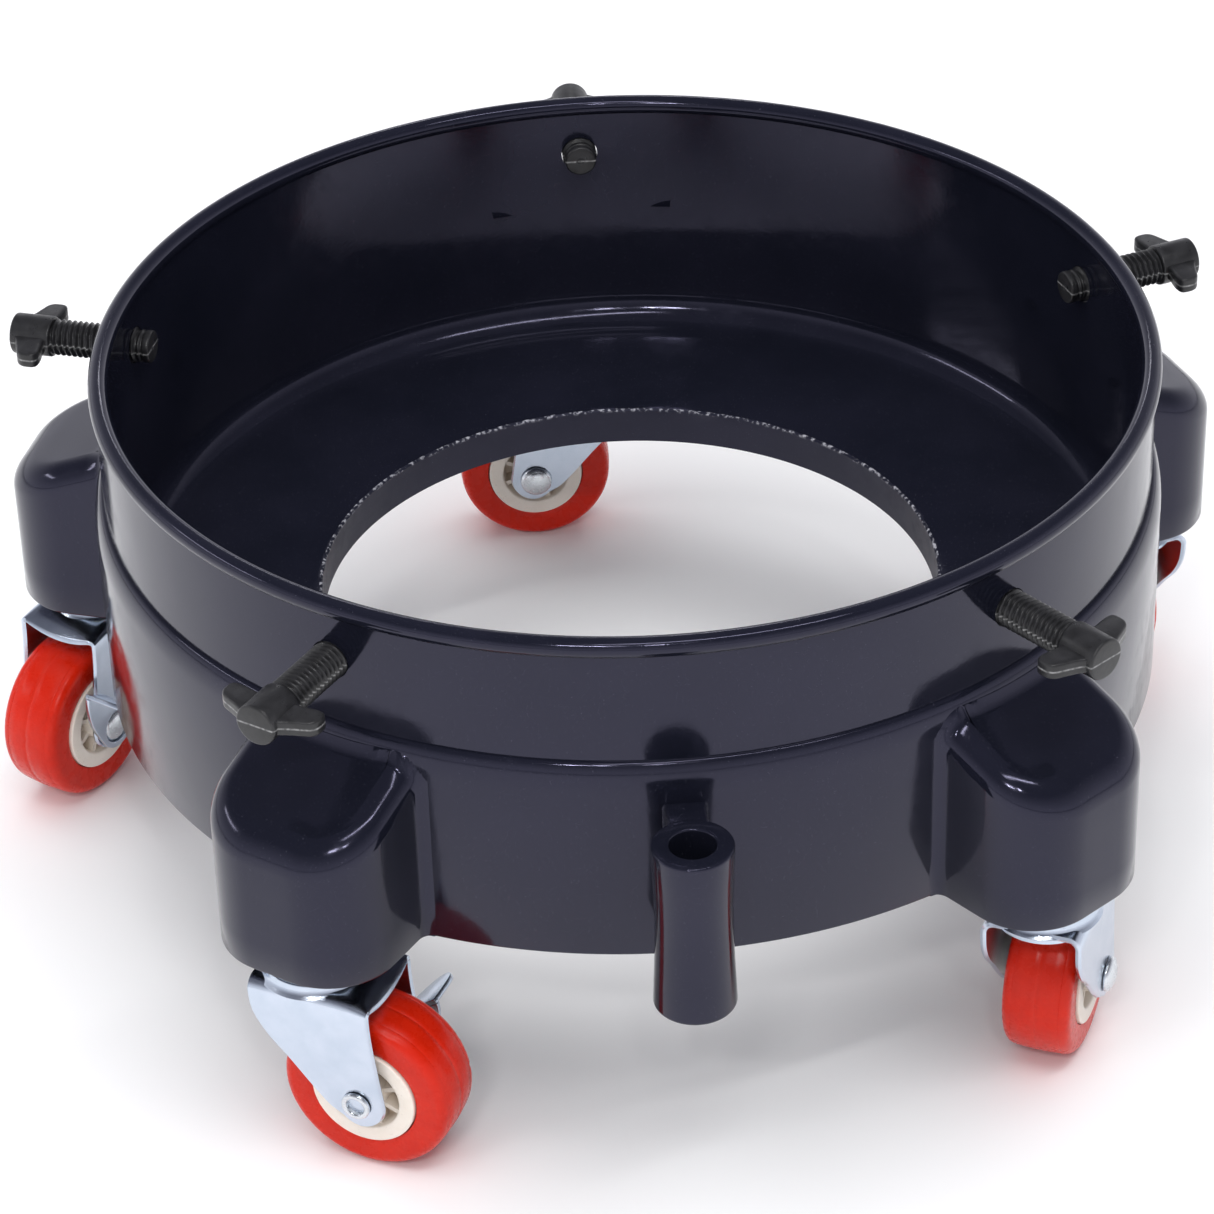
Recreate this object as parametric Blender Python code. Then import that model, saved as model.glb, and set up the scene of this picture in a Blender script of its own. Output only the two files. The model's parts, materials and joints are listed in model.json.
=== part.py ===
"""Drum dolly: a moulded ring that holds a pail by five wing screws and rolls on five swivel casters.

Metres, +Z up, floor at z = 0. Run it with: blender --background --python part.py
"""

import math

import bmesh
import bpy
from mathutils import Matrix

# Layout: five casters, each with a screw above it, and a tool holder in the slightly wider front gap.
STATIONS = {"right": 18, "back": 90, "left": 161, "front_left": 233.5, "front_right": 307}
HOLDER_ANGLE = 270
TRAIL_ANGLE = {"right": 105, "back": 178, "left": 232, "front_left": 332, "front_right": 64}
RIVET_HEAD_SIDE = {"right": 1, "back": 1, "left": -1, "front_left": 1, "front_right": -1}
BRAKED = ("left", "front_left")
RING_CENTRE = (0.0050111, -0.0020000)  # puts the middle of the bounding box on the origin

# Ring body: radii from the ring's axis, heights from the floor.
WALL = 0.003
RIM_Z = 0.1755
RIM_R = 0.162
BEAD_R = 0.00305
UPPER_R = 0.1606
SKIRT_R = 0.1638
SHOULDER_TOP_Z = 0.1383
SHOULDER_Z = 0.1290
SKIRT_Z = 0.0721
FLOOR_Z = 0.0947
FLOOR_THICK = 0.004
HOLE_R = 0.0963
HOLE_LIP_Z = 0.0824
HOLE_LIP_WALL = 0.0045
FLOOR_RIBS = 10
RIB_THICK = 0.0026
RING_STEPS = 64

# Caster pods, in a frame whose x runs outward from the ring's axis.
POD_OUT = 0.199
POD_HALF_WIDTH = 0.0278
POD_CORNER = 0.021
POD_TOP_IN_Z = 0.1310
POD_TOP_OUT_Z = 0.1180
POD_FILLET = 0.010
POD_WALL = 0.004
POD_HOLLOW_TOP_Z = 0.1095
BOSS_R = 0.0105
STEM_HOLE_R = 0.0046
STEM_HOLE_TOP_Z = 0.1085
NUT_Z = (0.0915, 0.0983)
NUT_R = 0.0072
FIT_GAP = 0.0003

# Tool holder.
HOLDER_OUT = 0.183
HOLDER_TOP_Z = 0.1255
HOLDER_LOW_Z = 0.0705
HOLDER_R = 0.0118
HOLDER_WAIST_R = 0.0110
HOLDER_BORE_R = 0.0065
HOLDER_WEB = 0.011

# Wing screws: distances outward from the ring's axis.
SCREW_Z = 0.1585
SCREW_R = 0.0056
SCREW_HOLE_R = 0.0060
TIP_IN = 0.1516
TIP_OUT = 0.1554
TIP_R = 0.0052
WING_HUB_IN = 0.184
WING_HUB_OUT = 0.197
WING_HUB_R = 0.0064
WING_HALF_SPAN = 0.0160
WING_THICK = 0.0050

# Casters: x trails from the king pin, y runs along the axle.
KING_OUT = 0.178
TRAIL = 0.0180
WHEEL_R = 0.0265
TYRE_HALF_WIDTH = 0.0105
TYRE_BORE_R = 0.0166
HUB_HALF_WIDTH = 0.0112
HUB_BOSS_HALF = 0.0122
AXLE_R = 0.0030
AXLE_HOLE_R = 0.0034
LEG_HALF = 0.0152
SHEET = 0.0018
CROWN_Z = 0.0635
CROWN_LIP_Z = 0.0661
CROWN_BAND_Z = 0.0590
RACE_R = 0.0150
RACE_Z = (0.0679, SKIRT_Z - FIT_GAP)
STEM_R = 0.0039
STEM_HEAD_R = 0.0068
STEM_HEAD_Z = (0.0575, 0.0612)
STEM_TOP_Z = 0.1055

# Brake pedals: x and z from the axle.
TAB_CORNER = (0.0125, 0.0178)
TAB_SLOPE = 36
CREASE_LENGTH = 0.0165
PEDAL_R = 0.0078
PEDAL_SHEET = 0.0016
PEDAL_HOLE_R = 0.0058


def clear_scene():
    for obj in list(bpy.data.objects):
        bpy.data.objects.remove(obj, do_unlink=True)


def material(name, colour, roughness, metallic=0.0):
    """A Principled material, one for each kind of finish."""
    made = bpy.data.materials.new(name)
    made.use_nodes = True
    shader = made.node_tree.nodes["Principled BSDF"]
    shader.inputs["Base Color"].default_value = (*colour, 1.0)
    shader.inputs["Roughness"].default_value = roughness
    shader.inputs["Metallic"].default_value = metallic
    return made


def mesh_object(name, bm, finish=None, parent=None, smooth=True):
    """Turns bm into a named object with its faces pointing out."""
    bmesh.ops.recalc_face_normals(bm, faces=bm.faces)
    mesh = bpy.data.meshes.new(name)
    bm.to_mesh(mesh)
    bm.free()
    for face in mesh.polygons:
        face.use_smooth = smooth
    obj = bpy.data.objects.new(name, mesh)
    bpy.context.scene.collection.objects.link(obj)
    obj.parent = parent
    if finish:
        mesh.materials.append(finish)
    return obj


def empty(name, location, angle=0.0, parent=None, tilt=0.0):
    """An empty turned by angle about Z, after a tilt about Y, both in degrees."""
    made = bpy.data.objects.new(name, None)
    bpy.context.scene.collection.objects.link(made)
    made.location = location
    made.rotation_euler = (0.0, math.radians(tilt), math.radians(angle))
    made.parent = parent
    return made


def combine(obj, tool, operation):
    """Joins tool to obj or cuts it away, and hides the tool from renders."""
    tool.hide_render = True
    tool.display_type = "WIRE"
    modifier = obj.modifiers.new(tool.name, "BOOLEAN")
    modifier.operation = operation
    modifier.object = tool


def lathe(profile, steps):
    """Revolves a closed outline of (radius, height) points about Z."""
    bm = bmesh.new()
    points = [bm.verts.new((r, 0.0, z)) for r, z in profile]
    loop = [bm.edges.new((a, b)) for a, b in zip(points, points[1:] + points[:1])]
    bmesh.ops.spin(
        bm, geom=points + loop, cent=(0, 0, 0), axis=(0, 0, 1), angle=math.tau, steps=steps, use_merge=True
    )
    bmesh.ops.remove_doubles(bm, verts=bm.verts, dist=1e-6)
    bmesh.ops.dissolve_degenerate(bm, edges=bm.edges, dist=1e-6)
    return bm


def rod(radius, low, high, steps=16):
    """A cylinder along Z with its ends closed by a fan."""
    return lathe([(0.0, low), (radius, low), (radius, high), (0.0, high)], steps)


def prism(outline, low, high):
    """Extrudes a flat outline of (x, y) points from low to high."""
    bm = bmesh.new()
    face = bm.faces.new([bm.verts.new((x, y, low)) for x, y in outline])
    made = bmesh.ops.extrude_face_region(bm, geom=[face])
    lifted = [item for item in made["geom"] if isinstance(item, bmesh.types.BMVert)]
    bmesh.ops.translate(bm, verts=lifted, vec=(0.0, 0.0, high - low))
    return bm


def block(x, y, z):
    """A box between the three (low, high) pairs."""
    return prism([(x[0], y[0]), (x[1], y[0]), (x[1], y[1]), (x[0], y[1])], *z)


def arc(centre, radius, start, end, steps):
    """Points round an arc, angles in degrees."""
    points = []
    for step in range(steps + 1):
        angle = math.radians(start + (end - start) * step / steps)
        points.append((centre[0] + radius * math.cos(angle), centre[1] + radius * math.sin(angle)))
    return points


# ---------------------------------------------------------------- ring body


def ring_outline():
    """The ring's section: rolled rim, wall, shoulder, skirt, floor and the lip round its hole."""
    inner_skirt = SKIRT_R - WALL
    bead = arc((RIM_R - BEAD_R, RIM_Z), BEAD_R, -60, 240, 6)
    shoulder = [
        (UPPER_R + (SKIRT_R - UPPER_R) * math.sin(turn), SHOULDER_Z + (SHOULDER_TOP_Z - SHOULDER_Z) * math.cos(turn))
        for turn in (math.radians(step * 30) for step in range(4))
    ]
    outside = [(SKIRT_R, SKIRT_Z)] + shoulder[::-1] + bead
    inside = [
        (UPPER_R - WALL, SHOULDER_Z + 0.004),
        (inner_skirt, SHOULDER_Z - 0.002),
        (inner_skirt - 0.0004, FLOOR_Z + 0.002),
        (inner_skirt - 0.0024, FLOOR_Z),
    ]
    floor = [
        (HOLE_R, FLOOR_Z),
        (HOLE_R, HOLE_LIP_Z),
        (HOLE_R + HOLE_LIP_WALL, HOLE_LIP_Z),
        (HOLE_R + HOLE_LIP_WALL, FLOOR_Z - FLOOR_THICK),
        (inner_skirt, FLOOR_Z - FLOOR_THICK),
        (inner_skirt, SKIRT_Z),
    ]
    return outside + inside + floor


def pod_plan(inset, inner_r):
    """A pod's plan: an arc against the ring, straight sides and two round corners."""
    half = POD_HALF_WIDTH - inset
    out = POD_OUT - inset
    corner = POD_CORNER - inset
    spread = math.degrees(math.asin(half / inner_r))
    inner = arc((0.0, 0.0), inner_r, spread, -spread, 6)
    first = arc((out - corner, corner - half), corner, -90, 0, 5)
    second = arc((out - corner, half - corner), corner, 0, 90, 5)
    return inner + first + second


def pod_solid(name, holder):
    """A pod's outer form: a sloped roof with a soft edge on straight sides."""
    inner_r = UPPER_R + 0.0015
    bm = prism(pod_plan(0.0, inner_r), SKIRT_Z, POD_TOP_IN_Z)
    top = [vert for vert in bm.verts if vert.co.z > POD_TOP_IN_Z - 1e-6]
    fall = (POD_TOP_IN_Z - POD_TOP_OUT_Z) / (POD_OUT - SKIRT_R)
    for vert in top:
        vert.co.z -= fall * (vert.co.x - SKIRT_R)
    rim = [
        edge
        for edge in bm.edges
        if all(vert in top for vert in edge.verts)
        and not all(abs(math.hypot(vert.co.x, vert.co.y) - inner_r) < 1e-5 for vert in edge.verts)
    ]
    bmesh.ops.bevel(bm, geom=rim, offset=POD_FILLET, segments=3, profile=0.5, affect="EDGES")
    return mesh_object(name, bm, parent=holder)


def pod_hollow(name, holder):
    """The hollow under a pod, which leaves a boss for the caster stem and four ribs round it."""
    bm = prism(pod_plan(POD_WALL, SKIRT_R + 0.0003), SKIRT_Z - 0.01, POD_HOLLOW_TOP_Z)
    hollow = mesh_object(name, bm, parent=holder)
    boss = mesh_object(f"{name}_boss", rod(BOSS_R, 0.05, 0.14, 12), parent=holder)
    boss.location.x = KING_OUT
    combine(hollow, boss, "DIFFERENCE")
    rib = RIB_THICK / 2
    along = block((SKIRT_R - 0.005, POD_OUT + 0.005), (-rib, rib), (SKIRT_Z + 0.005, 0.14))
    across = block((KING_OUT - rib, KING_OUT + rib), (-0.04, 0.04), (SKIRT_Z + 0.005, 0.14))
    combine(hollow, mesh_object(f"{name}_rib_along", along, parent=holder), "DIFFERENCE")
    combine(hollow, mesh_object(f"{name}_rib_across", across, parent=holder), "DIFFERENCE")
    return hollow


def stem_socket(name, holder):
    """The blind hole for a caster stem, with the pocket that the nut was moulded into."""
    hole = mesh_object(name, rod(STEM_HOLE_R, SKIRT_Z - 0.01, STEM_HOLE_TOP_Z, 12), parent=holder)
    hole.location.x = KING_OUT
    pocket = rod(NUT_R + FIT_GAP, NUT_Z[0] - FIT_GAP, NUT_Z[1] + FIT_GAP, 6)
    tool = mesh_object(f"{name}_pocket", pocket, parent=holder)
    tool.location.x = KING_OUT
    hole.rotation_euler.z = math.radians(5)  # keeps its facets off the ribs' planes
    combine(hole, tool, "UNION")
    return hole


def screw_hole(name, holder):
    """The hole that a wing screw turns in, across the wall."""
    hole = mesh_object(name, rod(SCREW_HOLE_R, UPPER_R - 0.010, UPPER_R + 0.010, 14), parent=holder)
    hole.rotation_euler = (0.0, math.radians(90), 0.0)
    hole.location.z = SCREW_Z
    return hole


def add_tool_holder(ring, centre):
    """The upright tube at the front for a brush or a hose, on a web from the skirt."""
    holder = empty("tool_holder_place", centre, HOLDER_ANGLE)
    middle = (HOLDER_TOP_Z + HOLDER_LOW_Z) / 2
    tube = [
        (0.0, HOLDER_LOW_Z),
        (HOLDER_R + 0.0002, HOLDER_LOW_Z),
        (HOLDER_R, HOLDER_LOW_Z + 0.008),
        (HOLDER_WAIST_R + 0.0002, middle - 0.008),
        (HOLDER_WAIST_R, middle + 0.006),
        (HOLDER_R - 0.0002, HOLDER_TOP_Z - 0.008),
        (HOLDER_R, HOLDER_TOP_Z),
        (0.0, HOLDER_TOP_Z),
    ]
    body = mesh_object("tool_holder_tube", lathe(tube, 20), parent=holder)
    body.location.x = HOLDER_OUT
    web = block(
        (SKIRT_R - WALL / 2, HOLDER_OUT), (-HOLDER_WEB / 2, HOLDER_WEB / 2), (SKIRT_Z, HOLDER_TOP_Z - 0.0002)
    )
    combine(ring, mesh_object("tool_holder_web", web, parent=holder), "UNION")
    combine(ring, body, "UNION")
    bore = mesh_object("tool_holder_bore", rod(HOLDER_BORE_R, 0.06, 0.13, 14), parent=holder)
    bore.location.x = HOLDER_OUT
    combine(ring, bore, "DIFFERENCE")


def add_floor_ribs(ring, centre):
    """Radial ribs under the floor, from the hole's lip to the skirt."""
    for number in range(FLOOR_RIBS):
        place = empty(f"floor_rib_place_{number}", centre, 360 / FLOOR_RIBS * number)
        rib = block(
            (HOLE_R + HOLE_LIP_WALL / 2, SKIRT_R - WALL / 2),
            (-RIB_THICK / 2, RIB_THICK / 2),
            (HOLE_LIP_Z + 0.001, FLOOR_Z - FLOOR_THICK / 2),
        )
        combine(ring, mesh_object(f"floor_rib_{number}", rib, parent=place), "UNION")


def build_ring(plastic, centre):
    ring = mesh_object("ring_body", lathe(ring_outline(), RING_STEPS), plastic)
    ring.location = centre
    places = {name: empty(f"{name}_station", centre, angle) for name, angle in STATIONS.items()}
    for name, place in places.items():
        combine(ring, pod_solid(f"{name}_pod", place), "UNION")
    add_floor_ribs(ring, centre)
    add_tool_holder(ring, centre)
    for name, place in places.items():
        combine(ring, screw_hole(f"{name}_hole", place), "DIFFERENCE")
        combine(ring, stem_socket(f"{name}_socket", place), "DIFFERENCE")
        combine(ring, pod_hollow(f"{name}_hollow", place), "DIFFERENCE")
    return places


# ---------------------------------------------------------------- wing screws


def wing_outline(side):
    """One wing seen from above: (outward, sideways) points, swept back towards the thread."""
    root = WING_HUB_R * 0.5
    return [
        (WING_HUB_IN + 0.0006, side * root),
        (WING_HUB_IN + 0.0012, side * (WING_HALF_SPAN - 0.001)),
        (WING_HUB_IN + 0.0026, side * WING_HALF_SPAN),
        (WING_HUB_IN + 0.0058, side * WING_HALF_SPAN),
        (WING_HUB_IN + 0.0072, side * (WING_HALF_SPAN - 0.0012)),
        (WING_HUB_OUT - 0.0012, side * WING_HUB_R),
        (WING_HUB_OUT - 0.0012, side * root),
    ]


def build_screw(name, place, plastic):
    """A wing screw on its own axis: plain shank for the thread, hub and two wings."""
    axis = empty(f"{name}_screw_axis", (0.0, 0.0, SCREW_Z), 0.0, place, 90)
    shank = [
        (0.0, TIP_OUT + FIT_GAP),
        (SCREW_R, TIP_OUT + FIT_GAP),
        (SCREW_R, WING_HUB_IN),
        (WING_HUB_R, WING_HUB_IN + 0.0004),
        (WING_HUB_R, WING_HUB_OUT - 0.0006),
        (WING_HUB_R - 0.0006, WING_HUB_OUT),
        (0.0, WING_HUB_OUT),
    ]
    screw = mesh_object(f"{name}_wing_screw", lathe(shank, 14), plastic, axis)
    for side, label in ((1, "a"), (-1, "b")):
        bm = prism([(along, across) for along, across in wing_outline(side)], -WING_THICK / 2, WING_THICK / 2)
        turn = Matrix(((0, 0, -1, 0), (0, 1, 0, 0), (1, 0, 0, 0), (0, 0, 0, 1)))
        bmesh.ops.transform(bm, matrix=turn, verts=bm.verts)
        wing = mesh_object(f"{name}_wing_{label}", bm, parent=axis)
        combine(screw, wing, "UNION")
    tip = [
        (0.0, TIP_IN),
        (TIP_R - 0.0008, TIP_IN),
        (TIP_R, TIP_IN + 0.0008),
        (TIP_R, TIP_OUT),
        (0.0, TIP_OUT),
    ]
    mesh_object(f"{name}_pressure_tip", lathe(tip, 14), plastic, axis)


# ---------------------------------------------------------------- casters


def leg_outline():
    """A fork leg from the side, (trail, height): broad at the crown and round about the axle."""
    foot = arc((TRAIL + 0.0010, WHEEL_R), 0.0078, 222, 368, 6)
    front = [(0.0233, 0.0547), (0.0233, 0.074)]
    back = [(-0.0150, 0.074), (-0.0147, 0.0547), (-0.0105, 0.0461), (-0.0034, 0.0380), (0.0085, 0.0243)]
    return foot + front + back


def fork_section(crown_z):
    """Half turn round the wheel, as a closed band of (across, height) points one sheet thick."""
    outer = [(LEG_HALF, 0.008)] + arc((LEG_HALF - 0.004, crown_z - 0.004), 0.004, 0, 90, 2)
    inner = [(LEG_HALF - SHEET, 0.008)] + arc((LEG_HALF - 0.004, crown_z - 0.004), 0.004 - SHEET, 0, 90, 2)
    left_outer = [(-y, z) for y, z in outer[::-1]]
    left_inner = [(-y, z) for y, z in inner]
    return outer + left_outer + left_inner + inner[::-1]


def build_fork(name, pivot, zinc):
    """The stamped fork: crown, raceway cup, front skirt and two legs with the axle hole."""
    bm = bmesh.new()
    stations = ((-0.020, CROWN_Z), (0.0130, CROWN_Z), (0.0233, CROWN_Z - 0.0032), (0.032, CROWN_Z - 0.008))
    rings = []
    for along, crown_z in stations:
        rings.append([bm.verts.new((along, y, z)) for y, z in fork_section(crown_z)])
    for near, far in zip(rings, rings[1:]):
        for index in range(len(near)):
            after = (index + 1) % len(near)
            bm.faces.new((near[index], near[after], far[after], far[index]))
    bm.faces.new(rings[0])
    bm.faces.new(rings[-1][::-1])
    fork = mesh_object(f"{name}_fork", bm, zinc, pivot)
    side = prism(leg_outline(), -0.03, 0.03)
    bmesh.ops.transform(side, matrix=Matrix.Rotation(math.radians(90), 4, "X"), verts=side.verts)
    combine(fork, mesh_object(f"{name}_leg_shape", side, parent=pivot), "INTERSECT")
    cup = [
        (RACE_R + 0.0003, CROWN_BAND_Z),
        (RACE_R + 0.0003, CROWN_LIP_Z),
        (RACE_R - 0.0013, CROWN_LIP_Z),
        (RACE_R - 0.0016, CROWN_BAND_Z),
    ]
    band = mesh_object(f"{name}_raceway_cup", lathe(cup, 20), parent=pivot)
    trim = mesh_object(f"{name}_cup_trim", block((-0.002, 0.03), (-0.0136, 0.0136), (0.045, CROWN_Z - SHEET)), parent=pivot)
    combine(band, trim, "DIFFERENCE")
    combine(fork, band, "UNION")
    pin = mesh_object(f"{name}_king_hole", rod(STEM_R + 0.0004, 0.04, 0.07, 12), parent=pivot)
    combine(fork, pin, "DIFFERENCE")
    axle = mesh_object(f"{name}_axle_hole", rod(AXLE_HOLE_R, -0.03, 0.03, 12), parent=pivot)
    axle.location = (TRAIL, 0.0, WHEEL_R)
    axle.rotation_euler.x = math.radians(90)
    combine(fork, axle, "DIFFERENCE")


def build_stem(name, pivot, zinc, steel, grease):
    """What the fork turns on: stem, its nut in the pod, upper race and ball race."""
    stem = [
        (0.0, STEM_HEAD_Z[0]),
        (STEM_HEAD_R - 0.0015, STEM_HEAD_Z[0]),
        (STEM_HEAD_R, STEM_HEAD_Z[0] + 0.0012),
        (STEM_HEAD_R, STEM_HEAD_Z[1]),
        (STEM_R, STEM_HEAD_Z[1]),
        (STEM_R, STEM_TOP_Z - 0.001),
        (STEM_R - 0.001, STEM_TOP_Z),
        (0.0, STEM_TOP_Z),
    ]
    mesh_object(f"{name}_stem", lathe(stem, 12), steel, pivot)
    nut_bore = (STEM_R + FIT_GAP) / math.cos(math.radians(30))  # flats clear the stem
    nut = [(nut_bore, NUT_Z[0]), (NUT_R, NUT_Z[0]), (NUT_R, NUT_Z[1]), (nut_bore, NUT_Z[1])]
    nut_place = empty(f"{name}_nut_place", (0.0, 0.0, 0.0), STATIONS[name] - TRAIL_ANGLE[name], pivot)
    mesh_object(f"{name}_stem_nut", lathe(nut, 6), steel, nut_place, smooth=False)
    race = [
        (STEM_R + FIT_GAP, RACE_Z[0]),
        (RACE_R - 0.0010, RACE_Z[0]),
        (RACE_R, RACE_Z[0] + 0.0012),
        (RACE_R, RACE_Z[1]),
        (STEM_R + FIT_GAP, RACE_Z[1]),
    ]
    mesh_object(f"{name}_upper_race", lathe(race, 20), zinc, pivot)
    middle = (CROWN_Z + RACE_Z[0]) / 2
    balls = arc((RACE_R - 0.0036, middle), middle - CROWN_Z - FIT_GAP, 0, 288, 4)
    mesh_object(f"{name}_ball_race", lathe(balls, 16), grease, pivot)


def build_wheel(name, pivot, white, red, steel):
    """Hub, tyre and the rivet that they turn on."""
    axle = empty(f"{name}_axle", (TRAIL, 0.0, WHEEL_R), 0.0, pivot)
    axle.rotation_euler.x = math.radians(-90)
    hub = [
        (AXLE_HOLE_R, -HUB_BOSS_HALF),
        (0.0062, -HUB_BOSS_HALF),
        (0.0066, -0.0045),
        (0.0110, -0.0045),
        (0.0114, -HUB_HALF_WIDTH),
        (TYRE_BORE_R - FIT_GAP, -HUB_HALF_WIDTH),
    ]
    hub += [(r, -z) for r, z in hub[::-1]]
    mesh_object(f"{name}_hub", lathe(hub, 20), white, axle)
    shoulder = 0.0032
    tread = arc((WHEEL_R - shoulder - 0.0004, TYRE_HALF_WIDTH - shoulder), shoulder, 90, 0, 2)
    half = [(TYRE_BORE_R, TYRE_HALF_WIDTH)] + tread
    tyre = half + [(WHEEL_R, 0.0)] + [(r, -z) for r, z in half[::-1]]
    mesh_object(f"{name}_tyre", lathe(tyre, 32), red, axle)
    side = RIVET_HEAD_SIDE[name]
    face = LEG_HALF + FIT_GAP
    rivet = [
        (0.0, face + 0.0026),
        (0.0032, face + 0.0021),
        (0.0055, face),
        (AXLE_R, face),
        (AXLE_R, -face),
        (0.0046, -face),
        (0.0044, -face - 0.0013),
        (0.0, -face - 0.0013),
    ]
    mesh_object(f"{name}_axle_rivet", lathe([(r, side * z) for r, z in rivet], 12), steel, axle)


def build_pedal(name, pivot, zinc):
    """The brake pedal: a plate that turns on the axle outside the leg, with a leaf-shaped toe tab along its top."""
    place = empty(f"{name}_pedal_pivot", (TRAIL, 0.0, WHEEL_R), 0.0, pivot)
    face = LEG_HALF + FIT_GAP
    along = (-math.cos(math.radians(TAB_SLOPE)), -math.sin(math.radians(TAB_SLOPE)))
    crease_end = (TAB_CORNER[0] + along[0] * CREASE_LENGTH, TAB_CORNER[1] + along[1] * CREASE_LENGTH)
    trailing = [(0.0130, 0.0140), (0.0124, 0.0080), (0.0100, 0.0020)]
    round_end = arc((0.0, 0.0), PEDAL_R, -25, -190, 7)
    plate = prism([TAB_CORNER] + trailing + round_end + [crease_end], face, face + PEDAL_SHEET)
    upright = Matrix(((1, 0, 0, 0), (0, 0, 1, 0), (0, 1, 0, 0), (0, 0, 0, 1)))
    bmesh.ops.transform(plate, matrix=upright, verts=plate.verts)
    pedal = mesh_object(f"{name}_brake_pedal", plate, zinc, place)
    tab_plan = [(0.0, 0.0), (0.0, 0.0108), (0.0012, 0.0137), (0.0034, 0.0148), (0.0062, 0.0136)]
    tab_plan += [(0.0090, 0.0100), (0.0116, 0.0050), (0.0135, 0.0)]
    tab = prism(tab_plan, -PEDAL_SHEET, 0.0)
    lay = Matrix(((along[0], 0, -along[1], 0), (0, 1, 0, 0), (along[1], 0, along[0], 0), (0, 0, 0, 1)))
    shift = Matrix.Translation((TAB_CORNER[0], face + FIT_GAP, TAB_CORNER[1]))
    bmesh.ops.transform(tab, matrix=shift @ lay, verts=tab.verts)
    combine(pedal, mesh_object(f"{name}_toe_tab", tab, parent=place), "UNION")
    hole = mesh_object(f"{name}_pedal_hole", rod(PEDAL_HOLE_R, -0.03, 0.03), parent=place)
    hole.rotation_euler.x = math.radians(90)
    combine(pedal, hole, "DIFFERENCE")


def build_caster(name, centre, finishes):
    angle = math.radians(STATIONS[name])
    location = (centre[0] + KING_OUT * math.cos(angle), centre[1] + KING_OUT * math.sin(angle), 0.0)
    pivot = empty(f"{name}_swivel", location, TRAIL_ANGLE[name])
    build_stem(name, pivot, finishes["zinc"], finishes["steel"], finishes["grease"])
    build_fork(name, pivot, finishes["zinc"])
    build_wheel(name, pivot, finishes["white"], finishes["red"], finishes["steel"])
    if name in BRAKED:
        build_pedal(name, pivot, finishes["zinc"])


def main():
    clear_scene()
    finishes = {
        "black": material("glossy_black_plastic", (0.012, 0.013, 0.020), 0.12),
        "screw": material("satin_black_plastic", (0.012, 0.012, 0.013), 0.45),
        "zinc": material("zinc_plate", (0.74, 0.78, 0.84), 0.28, 1.0),
        "steel": material("bright_steel", (0.66, 0.68, 0.70), 0.32, 1.0),
        "grease": material("yellow_grease", (0.55, 0.48, 0.12), 0.3),
        "white": material("white_plastic", (0.86, 0.80, 0.76), 0.4),
        "red": material("red_polyurethane", (0.78, 0.05, 0.02), 0.28),
    }
    centre = (*RING_CENTRE, 0.0)
    places = build_ring(finishes["black"], centre)
    for name, place in places.items():
        build_screw(name, place, finishes["screw"])
        build_caster(name, centre, finishes)


main()
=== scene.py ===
"""Looks for the drum dolly: fine meshes, procedural finishes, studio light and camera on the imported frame."""

import json
import math

import bmesh
import bpy
from mathutils import Matrix, Vector, noise


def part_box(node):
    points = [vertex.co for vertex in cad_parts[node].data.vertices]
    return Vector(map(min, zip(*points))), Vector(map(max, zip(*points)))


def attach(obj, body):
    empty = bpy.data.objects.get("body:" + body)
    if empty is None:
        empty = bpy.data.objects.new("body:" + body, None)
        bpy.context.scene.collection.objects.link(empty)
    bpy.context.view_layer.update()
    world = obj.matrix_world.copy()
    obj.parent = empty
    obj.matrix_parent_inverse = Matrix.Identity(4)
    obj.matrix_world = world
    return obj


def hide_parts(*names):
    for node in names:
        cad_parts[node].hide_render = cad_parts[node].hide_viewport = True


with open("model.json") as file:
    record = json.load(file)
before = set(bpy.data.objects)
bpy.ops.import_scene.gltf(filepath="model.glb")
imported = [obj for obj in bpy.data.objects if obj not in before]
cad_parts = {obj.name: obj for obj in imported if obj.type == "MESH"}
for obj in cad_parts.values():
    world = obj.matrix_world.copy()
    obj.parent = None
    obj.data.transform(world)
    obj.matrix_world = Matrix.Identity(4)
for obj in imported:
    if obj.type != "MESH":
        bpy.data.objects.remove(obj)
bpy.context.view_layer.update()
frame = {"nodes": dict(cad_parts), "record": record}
nodes = frame["nodes"]
joints = {joint["name"]: joint for joint in frame["record"]["behaviour"]["joints"]}
NAMES = ("right", "back", "left", "front_left", "front_right")

# Section of the ring, from its axis and from the floor, as in the CAD model.
WALL = 0.003
BEAD_R = 0.00305
RIM_R = 0.162
RIM_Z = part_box("ring_body")[1].z - BEAD_R
UPPER_R = 0.1606
SKIRT_R = 0.1638
SKIRT_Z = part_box("back_upper_race")[1].z + 0.0003
SHOULDER_TOP_Z = SKIRT_Z + 0.0662
SHOULDER_Z = SKIRT_Z + 0.0569
FLOOR_FILLET = 0.0104
FLOOR_Z = frame["record"]["mounts"][0]["pos_m"][2]
FLOOR_THICK = 0.004
HOLE_R = 0.0963
HOLE_LIP_Z = FLOOR_Z - 0.0123
HOLE_LIP_WALL = 0.0045
POD_OUT = 0.199
POD_HALF_WIDTH = 0.0278
POD_CORNER = 0.0210
POD_TOP_IN_Z = SKIRT_Z + 0.0589
POD_TOP_OUT_Z = SKIRT_Z + 0.0459
POD_FILLET = 0.0080
POD_ROOT = 0.004
POD_WALL = 0.004
POD_HOLLOW_TOP_Z = SKIRT_Z + 0.0374
BOSS_R = 0.0105
BOSS_BORE_R = 0.0046
RIB_HALF = 0.0013
RIB_COUNT = 10
RING_STEPS = 320
HOLDER_OUT = 0.183
HOLDER_LOW_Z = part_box("ring_body")[0].z
HOLDER_TOP_Z = HOLDER_LOW_Z + 0.055
HOLDER_BORE_R = 0.0065
WEB_HALF = 0.0055
WEB_ROOT = 0.0022

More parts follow.
